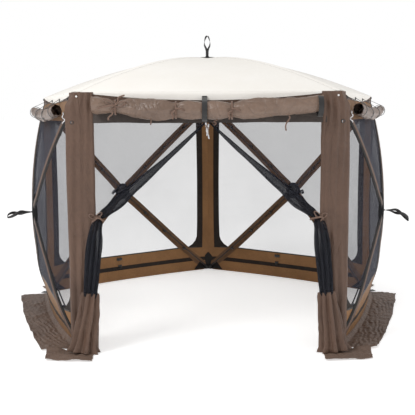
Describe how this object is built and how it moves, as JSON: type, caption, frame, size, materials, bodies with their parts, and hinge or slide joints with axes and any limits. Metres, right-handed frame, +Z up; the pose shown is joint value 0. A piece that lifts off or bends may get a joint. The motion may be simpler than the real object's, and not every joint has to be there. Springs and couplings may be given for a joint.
{
  "type": "screen house",
  "caption": "Pop-up five-sided screen house with pop-out wall hubs, bowed rods, mesh wall panels, a cloth roof, rolled wind panels and a tied-back mesh door.",
  "frame": {"origin": "centre of the outline's box on the ground, under the skirts", "axes": "+Z up, -Y toward the door side, +X to the right of someone facing the door from outside"},
  "size_m": [3.5664, 3.4418, 2.396],
  "materials": {
    "roof_cloth": "woven polyester, matte, cream",
    "brown_cloth": "coated woven polyester with a soft sheen, brown",
    "mesh_cloth": "fine see-through insect mesh, charcoal",
    "rod_and_sleeve": "satin black glass-fibre rod under a brown cloth sleeve",
    "black_plastic": "moulded, matte black",
    "webbing": "woven polyester webbing, black"
  },
  "bodies": {
    "canopy_frame": {"corner_posts": "brown_cloth", "eave_bands": "brown_cloth", "corner_sockets": "black_plastic", "ground_skirts": "brown_cloth", "stake_tabs": "webbing", "wind_panel_rolls": "brown_cloth", "roll_hangers": "webbing", "door_halves": "mesh_cloth"},
    "hub_right": {"hub_right": "black_plastic"},
    "panel_right_top": {"panel_right_top": "mesh_cloth"},
    "panel_right_bottom": {"panel_right_bottom": "mesh_cloth"},
    "panel_right_left": {"panel_right_left": "mesh_cloth"},
    "panel_right_right": {"panel_right_right": "mesh_cloth"},
    "pole_right_upper_left": {"pole_right_upper_left": "rod_and_sleeve"},
    "pole_right_upper_right": {"pole_right_upper_right": "rod_and_sleeve"},
    "pole_right_lower_left": {"pole_right_lower_left": "rod_and_sleeve"},
    "pole_right_lower_right": {"pole_right_lower_right": "rod_and_sleeve"},
    "pull_strap_right": {"pull_strap_right": "webbing"},
    "hub_back_right": {"hub_back_right": "black_plastic"},
    "panel_back_right_top": {"panel_back_right_top": "mesh_cloth"},
    "panel_back_right_bottom": {"panel_back_right_bottom": "mesh_cloth"},
    "panel_back_right_left": {"panel_back_right_left": "mesh_cloth"},
    "panel_back_right_right": {"panel_back_right_right": "mesh_cloth"},
    "pole_back_right_upper_left": {"pole_back_right_upper_left": "rod_and_sleeve"},
    "pole_back_right_upper_right": {"pole_back_right_upper_right": "rod_and_sleeve"},
    "pole_back_right_lower_left": {"pole_back_right_lower_left": "rod_and_sleeve"},
    "pole_back_right_lower_right": {"pole_back_right_lower_right": "rod_and_sleeve"},
    "pull_strap_back_right": {"pull_strap_back_right": "webbing"},
    "hub_back_left": {"hub_back_left": "black_plastic"},
    "panel_back_left_top": {"panel_back_left_top": "mesh_cloth"},
    "panel_back_left_bottom": {"panel_back_left_bottom": "mesh_cloth"},
    "panel_back_left_left": {"panel_back_left_left": "mesh_cloth"},
    "panel_back_left_right": {"panel_back_left_right": "mesh_cloth"},
    "pole_back_left_upper_left": {"pole_back_left_upper_left": "rod_and_sleeve"},
    "pole_back_left_upper_right": {"pole_back_left_upper_right": "rod_and_sleeve"},
    "pole_back_left_lower_left": {"pole_back_left_lower_left": "rod_and_sleeve"},
    "pole_back_left_lower_right": {"pole_back_left_lower_right": "rod_and_sleeve"},
    "pull_strap_back_left": {"pull_strap_back_left": "webbing"},
    "hub_left": {"hub_left": "black_plastic"},
    "panel_left_top": {"panel_left_top": "mesh_cloth"},
    "panel_left_bottom": {"panel_left_bottom": "mesh_cloth"},
    "panel_left_left": {"panel_left_left": "mesh_cloth"},
    "panel_left_right": {"panel_left_right": "mesh_cloth"},
    "pole_left_upper_left": {"pole_left_upper_left": "rod_and_sleeve"},
    "pole_left_upper_right": {"pole_left_upper_right": "rod_and_sleeve"},
    "pole_left_lower_left": {"pole_left_lower_left": "rod_and_sleeve"},
    "pole_left_lower_right": {"pole_left_lower_right": "rod_and_sleeve"},
    "pull_strap_left": {"pull_strap_left": "webbing"},
    "hub_roof": {"hub_roof": "black_plastic"},
    "roof_panel_front": {"roof_panel_front": "roof_cloth"},
    "roof_panel_right": {"roof_panel_right": "roof_cloth"},
    "roof_panel_back_right": {"roof_panel_back_right": "roof_cloth"},
    "roof_panel_back_left": {"roof_panel_back_left": "roof_cloth"},
    "roof_panel_left": {"roof_panel_left": "roof_cloth"},
    "roof_pole_front_right": {"roof_pole_front_right": "rod_and_sleeve"},
    "roof_pole_right": {"roof_pole_right": "rod_and_sleeve"},
    "roof_pole_back": {"roof_pole_back": "rod_and_sleeve"},
    "roof_pole_left": {"roof_pole_left": "rod_and_sleeve"},
    "roof_pole_front_left": {"roof_pole_front_left": "rod_and_sleeve"},
    "pull_strap_roof": {"pull_strap_roof": "webbing"}
  },
  "joints": [
    {"name": "pop_right", "type": "slide", "parent": "canopy_frame", "child": "hub_right", "axis": [0.9511, -0.309, 0], "range_m": [-0.43, 0]},
    {"name": "fold_panel_right_top", "type": "hinge", "parent": "canopy_frame", "child": "panel_right_top", "pos_m": [1.22355, -0.48594, 1.805], "axis": [-0.309, -0.9511, 0], "range_deg": [-28.22, 0]},
    {"name": "fold_panel_right_bottom", "type": "hinge", "parent": "canopy_frame", "child": "panel_right_bottom", "pos_m": [1.22355, -0.48594, 0.015], "axis": [0.309, 0.9511, 0], "range_deg": [-28.22, 0]},
    {"name": "fold_panel_right_left", "type": "hinge", "parent": "canopy_frame", "child": "panel_right_left", "pos_m": [0.93471, -1.3749, 0.91], "axis": [0, 0, -1], "range_deg": [-27.07, 0]},
    {"name": "fold_panel_right_right", "type": "hinge", "parent": "canopy_frame", "child": "panel_right_right", "pos_m": [1.51239, 0.40302, 0.91], "axis": [0, 0, 1], "range_deg": [-27.07, 0]},
    {"name": "swing_pole_right_upper_left", "type": "hinge", "parent": "canopy_frame", "child": "pole_right_upper_left", "pos_m": [0.94698, -1.33714, 1.767], "axis": [-0.2137, -0.6578, -0.7223], "range_deg": [-20.41, 0]},
    {"name": "swing_pole_right_upper_right", "type": "hinge", "parent": "canopy_frame", "child": "pole_right_upper_right", "pos_m": [1.50012, 0.36525, 1.767], "axis": [-0.2137, -0.6578, 0.7223], "range_deg": [-20.41, 0]},
    {"name": "swing_pole_right_lower_left", "type": "hinge", "parent": "canopy_frame", "child": "pole_right_lower_left", "pos_m": [0.94698, -1.33714, 0.053], "axis": [0.2137, 0.6578, -0.7223], "range_deg": [-20.41, 0]},
    {"name": "swing_pole_right_lower_right", "type": "hinge", "parent": "canopy_frame", "child": "pole_right_lower_right", "pos_m": [1.50012, 0.36525, 0.053], "axis": [0.2137, 0.6578, 0.7223], "range_deg": [-20.41, 0]},
    {"name": "swing_pull_strap_right", "type": "hinge", "parent": "hub_right", "child": "pull_strap_right", "pos_m": [1.45656, -0.56165, 0.91], "axis": [0.309, 0.9511, 0], "range_deg": [-40, 40]},
    {"name": "pop_back_right", "type": "slide", "parent": "canopy_frame", "child": "hub_back_right", "axis": [0.5878, 0.809, 0], "range_m": [-0.43, 0]},
    {"name": "fold_panel_back_right_top", "type": "hinge", "parent": "canopy_frame", "child": "panel_back_right_top", "pos_m": [0.7562, 0.95243, 1.805], "axis": [0.809, -0.5878, 0], "range_deg": [-28.22, 0]},
    {"name": "fold_panel_back_right_bottom", "type": "hinge", "parent": "canopy_frame", "child": "panel_back_right_bottom", "pos_m": [0.7562, 0.95243, 0.015], "axis": [-0.809, 0.5878, 0], "range_deg": [-28.22, 0]},
    {"name": "fold_panel_back_right_left", "type": "hinge", "parent": "canopy_frame", "child": "panel_back_right_left", "pos_m": [1.51239, 0.40302, 0.91], "axis": [0, 0, -1], "range_deg": [-27.07, 0]},
    {"name": "fold_panel_back_right_right", "type": "hinge", "parent": "canopy_frame", "child": "panel_back_right_right", "pos_m": [0, 1.50184, 0.91], "axis": [0, 0, 1], "range_deg": [-27.07, 0]},
    {"name": "swing_pole_back_right_upper_left", "type": "hinge", "parent": "canopy_frame", "child": "pole_back_right_upper_left", "pos_m": [1.48027, 0.42636, 1.767], "axis": [0.5595, -0.4065, -0.7223], "range_deg": [-20.41, 0]},
    {"name": "swing_pole_back_right_upper_right", "type": "hinge", "parent": "canopy_frame", "child": "pole_back_right_upper_right", "pos_m": [0.03213, 1.4785, 1.767], "axis": [0.5595, -0.4065, 0.7223], "range_deg": [-20.41, 0]},
    {"name": "swing_pole_back_right_lower_left", "type": "hinge", "parent": "canopy_frame", "child": "pole_back_right_lower_left", "pos_m": [1.48027, 0.42636, 0.053], "axis": [-0.5595, 0.4065, -0.7223], "range_deg": [-20.41, 0]},
    {"name": "swing_pole_back_right_lower_right", "type": "hinge", "parent": "canopy_frame", "child": "pole_back_right_lower_right", "pos_m": [0.03213, 1.4785, 0.053], "axis": [-0.5595, 0.4065, 0.7223], "range_deg": [-20.41, 0]},
    {"name": "swing_pull_strap_back_right", "type": "hinge", "parent": "hub_back_right", "child": "pull_strap_back_right", "pos_m": [0.9002, 1.15064, 0.91], "axis": [-0.809, 0.5878, 0], "range_deg": [-40, 40]},
    {"name": "pop_back_left", "type": "slide", "parent": "canopy_frame", "child": "hub_back_left", "axis": [-0.5878, 0.809, 0], "range_m": [-0.43, 0]},
    {"name": "fold_panel_back_left_top", "type": "hinge", "parent": "canopy_frame", "child": "panel_back_left_top", "pos_m": [-0.7562, 0.95243, 1.805], "axis": [0.809, 0.5878, 0], "range_deg": [-28.22, 0]},
    {"name": "fold_panel_back_left_bottom", "type": "hinge", "parent": "canopy_frame", "child": "panel_back_left_bottom", "pos_m": [-0.7562, 0.95243, 0.015], "axis": [-0.809, -0.5878, 0], "range_deg": [-28.22, 0]},
    {"name": "fold_panel_back_left_left", "type": "hinge", "parent": "canopy_frame", "child": "panel_back_left_left", "pos_m": [0, 1.50184, 0.91], "axis": [0, 0, -1], "range_deg": [-27.07, 0]},
    {"name": "fold_panel_back_left_right", "type": "hinge", "parent": "canopy_frame", "child": "panel_back_left_right", "pos_m": [-1.51239, 0.40302, 0.91], "axis": [0, 0, 1], "range_deg": [-27.07, 0]},
    {"name": "swing_pole_back_left_upper_left", "type": "hinge", "parent": "canopy_frame", "child": "pole_back_left_upper_left", "pos_m": [-0.03213, 1.4785, 1.767], "axis": [0.5595, 0.4065, -0.7223], "range_deg": [-20.41, 0]},
    {"name": "swing_pole_back_left_upper_right", "type": "hinge", "parent": "canopy_frame", "child": "pole_back_left_upper_right", "pos_m": [-1.48027, 0.42636, 1.767], "axis": [0.5595, 0.4065, 0.7223], "range_deg": [-20.41, 0]},
    {"name": "swing_pole_back_left_lower_left", "type": "hinge", "parent": "canopy_frame", "child": "pole_back_left_lower_left", "pos_m": [-0.03213, 1.4785, 0.053], "axis": [-0.5595, -0.4065, -0.7223], "range_deg": [-20.41, 0]},
    {"name": "swing_pole_back_left_lower_right", "type": "hinge", "parent": "canopy_frame", "child": "pole_back_left_lower_right", "pos_m": [-1.48027, 0.42636, 0.053], "axis": [-0.5595, -0.4065, 0.7223], "range_deg": [-20.41, 0]},
    {"name": "swing_pull_strap_back_left", "type": "hinge", "parent": "hub_back_left", "child": "pull_strap_back_left", "pos_m": [-0.9002, 1.15064, 0.91], "axis": [-0.809, -0.5878, 0], "range_deg": [-40, 40]},
    {"name": "pop_left", "type": "slide", "parent": "canopy_frame", "child": "hub_left", "axis": [-0.9511, -0.309, 0], "range_m": [-0.43, 0]},
    {"name": "fold_panel_left_top", "type": "hinge", "parent": "canopy_frame", "child": "panel_left_top", "pos_m": [-1.22355, -0.48594, 1.805], "axis": [-0.309, 0.9511, 0], "range_deg": [-28.22, 0]},
    {"name": "fold_panel_left_bottom", "type": "hinge", "parent": "canopy_frame", "child": "panel_left_bottom", "pos_m": [-1.22355, -0.48594, 0.015], "axis": [0.309, -0.9511, 0], "range_deg": [-28.22, 0]},
    {"name": "fold_panel_left_left", "type": "hinge", "parent": "canopy_frame", "child": "panel_left_left", "pos_m": [-1.51239, 0.40302, 0.91], "axis": [0, 0, -1], "range_deg": [-27.07, 0]},
    {"name": "fold_panel_left_right", "type": "hinge", "parent": "canopy_frame", "child": "panel_left_right", "pos_m": [-0.93471, -1.3749, 0.91], "axis": [0, 0, 1], "range_deg": [-27.07, 0]},
    {"name": "swing_pole_left_upper_left", "type": "hinge", "parent": "canopy_frame", "child": "pole_left_upper_left", "pos_m": [-1.50012, 0.36525, 1.767], "axis": [-0.2137, 0.6578, -0.7223], "range_deg": [-20.41, 0]},
    {"name": "swing_pole_left_upper_right", "type": "hinge", "parent": "canopy_frame", "child": "pole_left_upper_right", "pos_m": [-0.94698, -1.33714, 1.767], "axis": [-0.2137, 0.6578, 0.7223], "range_deg": [-20.41, 0]},
    {"name": "swing_pole_left_lower_left", "type": "hinge", "parent": "canopy_frame", "child": "pole_left_lower_left", "pos_m": [-1.50012, 0.36525, 0.053], "axis": [0.2137, -0.6578, -0.7223], "range_deg": [-20.41, 0]},
    {"name": "swing_pole_left_lower_right", "type": "hinge", "parent": "canopy_frame", "child": "pole_left_lower_right", "pos_m": [-0.94698, -1.33714, 0.053], "axis": [0.2137, -0.6578, 0.7223], "range_deg": [-20.41, 0]},
    {"name": "swing_pull_strap_left", "type": "hinge", "parent": "hub_left", "child": "pull_strap_left", "pos_m": [-1.45656, -0.56165, 0.91], "axis": [0.309, -0.9511, 0], "range_deg": [-40, 40]},
    {"name": "pop_roof", "type": "slide", "parent": "canopy_frame", "child": "hub_roof", "axis": [0, 0, 1], "range_m": [-0.64, 0]},
    {"name": "fold_roof_panel_front", "type": "hinge", "parent": "canopy_frame", "child": "roof_panel_front", "pos_m": [0, -1.3909, 1.848], "axis": [1, 0, 0], "range_deg": [-28.6, 0]},
    {"name": "fold_roof_panel_right", "type": "hinge", "parent": "canopy_frame", "child": "roof_panel_right", "pos_m": [1.23877, -0.49089, 1.848], "axis": [0.309, 0.9511, 0], "range_deg": [-28.6, 0]},
    {"name": "fold_roof_panel_back_right", "type": "hinge", "parent": "canopy_frame", "child": "roof_panel_back_right", "pos_m": [0.7656, 0.96537, 1.848], "axis": [-0.809, 0.5878, 0], "range_deg": [-28.6, 0]},
    {"name": "fold_roof_panel_back_left", "type": "hinge", "parent": "canopy_frame", "child": "roof_panel_back_left", "pos_m": [-0.7656, 0.96537, 1.848], "axis": [-0.809, -0.5878, 0], "range_deg": [-28.6, 0]},
    {"name": "fold_roof_panel_left", "type": "hinge", "parent": "canopy_frame", "child": "roof_panel_left", "pos_m": [-1.23877, -0.49089, 1.848], "axis": [0.309, -0.9511, 0], "range_deg": [-28.6, 0]},
    {"name": "swing_roof_pole_front_right", "type": "hinge", "parent": "canopy_frame", "child": "roof_pole_front_right", "pos_m": [0.91988, -1.3545, 1.848], "axis": [0.809, 0.5878, 0], "range_deg": [-23.93, 0]},
    {"name": "swing_roof_pole_right", "type": "hinge", "parent": "canopy_frame", "child": "roof_pole_right", "pos_m": [1.4884, 0.39522, 1.848], "axis": [-0.309, 0.9511, 0], "range_deg": [-23.93, 0]},
    {"name": "swing_roof_pole_back", "type": "hinge", "parent": "canopy_frame", "child": "roof_pole_back", "pos_m": [0, 1.47661, 1.848], "axis": [-1, 0, 0], "range_deg": [-23.93, 0]},
    {"name": "swing_roof_pole_left", "type": "hinge", "parent": "canopy_frame", "child": "roof_pole_left", "pos_m": [-1.4884, 0.39522, 1.848], "axis": [-0.309, -0.9511, 0], "range_deg": [-23.93, 0]},
    {"name": "swing_roof_pole_front_left", "type": "hinge", "parent": "canopy_frame", "child": "roof_pole_front_left", "pos_m": [-0.91988, -1.3545, 1.848], "axis": [0.809, -0.5878, 0], "range_deg": [-23.93, 0]},
    {"name": "swing_pull_strap_roof", "type": "hinge", "parent": "hub_roof", "child": "pull_strap_roof", "pos_m": [0, -0.08839, 2.2], "axis": [1, 0, 0], "range_deg": [-60, 60]}
  ],
  "couplings": [
    {"joint": "fold_panel_right_top", "follows": "pop_right", "rad_per_m": 1.1455},
    {"joint": "fold_panel_right_bottom", "follows": "pop_right", "rad_per_m": 1.1455},
    {"joint": "fold_panel_right_left", "follows": "pop_right", "rad_per_m": 1.0987},
    {"joint": "fold_panel_right_right", "follows": "pop_right", "rad_per_m": 1.0987},
    {"joint": "swing_pole_right_upper_left", "follows": "pop_right", "rad_per_m": 0.82854},
    {"joint": "swing_pole_right_upper_right", "follows": "pop_right", "rad_per_m": 0.82854},
    {"joint": "swing_pole_right_lower_left", "follows": "pop_right", "rad_per_m": 0.82854},
    {"joint": "swing_pole_right_lower_right", "follows": "pop_right", "rad_per_m": 0.82854},
    {"joint": "fold_panel_back_right_top", "follows": "pop_back_right", "rad_per_m": 1.1455},
    {"joint": "fold_panel_back_right_bottom", "follows": "pop_back_right", "rad_per_m": 1.1455},
    {"joint": "fold_panel_back_right_left", "follows": "pop_back_right", "rad_per_m": 1.0987},
    {"joint": "fold_panel_back_right_right", "follows": "pop_back_right", "rad_per_m": 1.0987},
    {"joint": "swing_pole_back_right_upper_left", "follows": "pop_back_right", "rad_per_m": 0.82854},
    {"joint": "swing_pole_back_right_upper_right", "follows": "pop_back_right", "rad_per_m": 0.82854},
    {"joint": "swing_pole_back_right_lower_left", "follows": "pop_back_right", "rad_per_m": 0.82854},
    {"joint": "swing_pole_back_right_lower_right", "follows": "pop_back_right", "rad_per_m": 0.82854},
    {"joint": "fold_panel_back_left_top", "follows": "pop_back_left", "rad_per_m": 1.1455},
    {"joint": "fold_panel_back_left_bottom", "follows": "pop_back_left", "rad_per_m": 1.1455},
    {"joint": "fold_panel_back_left_left", "follows": "pop_back_left", "rad_per_m": 1.0987},
    {"joint": "fold_panel_back_left_right", "follows": "pop_back_left", "rad_per_m": 1.0987},
    {"joint": "swing_pole_back_left_upper_left", "follows": "pop_back_left", "rad_per_m": 0.82854},
    {"joint": "swing_pole_back_left_upper_right", "follows": "pop_back_left", "rad_per_m": 0.82854},
    {"joint": "swing_pole_back_left_lower_left", "follows": "pop_back_left", "rad_per_m": 0.82854},
    {"joint": "swing_pole_back_left_lower_right", "follows": "pop_back_left", "rad_per_m": 0.82854},
    {"joint": "fold_panel_left_top", "follows": "pop_left", "rad_per_m": 1.1455},
    {"joint": "fold_panel_left_bottom", "follows": "pop_left", "rad_per_m": 1.1455},
    {"joint": "fold_panel_left_left", "follows": "pop_left", "rad_per_m": 1.0987},
    {"joint": "fold_panel_left_right", "follows": "pop_left", "rad_per_m": 1.0987},
    {"joint": "swing_pole_left_upper_left", "follows": "pop_left", "rad_per_m": 0.82854},
    {"joint": "swing_pole_left_upper_right", "follows": "pop_left", "rad_per_m": 0.82854},
    {"joint": "swing_pole_left_lower_left", "follows": "pop_left", "rad_per_m": 0.82854},
    {"joint": "swing_pole_left_lower_right", "follows": "pop_left", "rad_per_m": 0.82854},
    {"joint": "fold_roof_panel_front", "follows": "pop_roof", "rad_per_m": 0.77993},
    {"joint": "fold_roof_panel_right", "follows": "pop_roof", "rad_per_m": 0.77993},
    {"joint": "fold_roof_panel_back_right", "follows": "pop_roof", "rad_per_m": 0.77993},
    {"joint": "fold_roof_panel_back_left", "follows": "pop_roof", "rad_per_m": 0.77993},
    {"joint": "fold_roof_panel_left", "follows": "pop_roof", "rad_per_m": 0.77993},
    {"joint": "swing_roof_pole_front_right", "follows": "pop_roof", "rad_per_m": 0.6526},
    {"joint": "swing_roof_pole_right", "follows": "pop_roof", "rad_per_m": 0.6526},
    {"joint": "swing_roof_pole_back", "follows": "pop_roof", "rad_per_m": 0.6526},
    {"joint": "swing_roof_pole_left", "follows": "pop_roof", "rad_per_m": 0.6526},
    {"joint": "swing_roof_pole_front_left", "follows": "pop_roof", "rad_per_m": 0.6526}
  ]
}
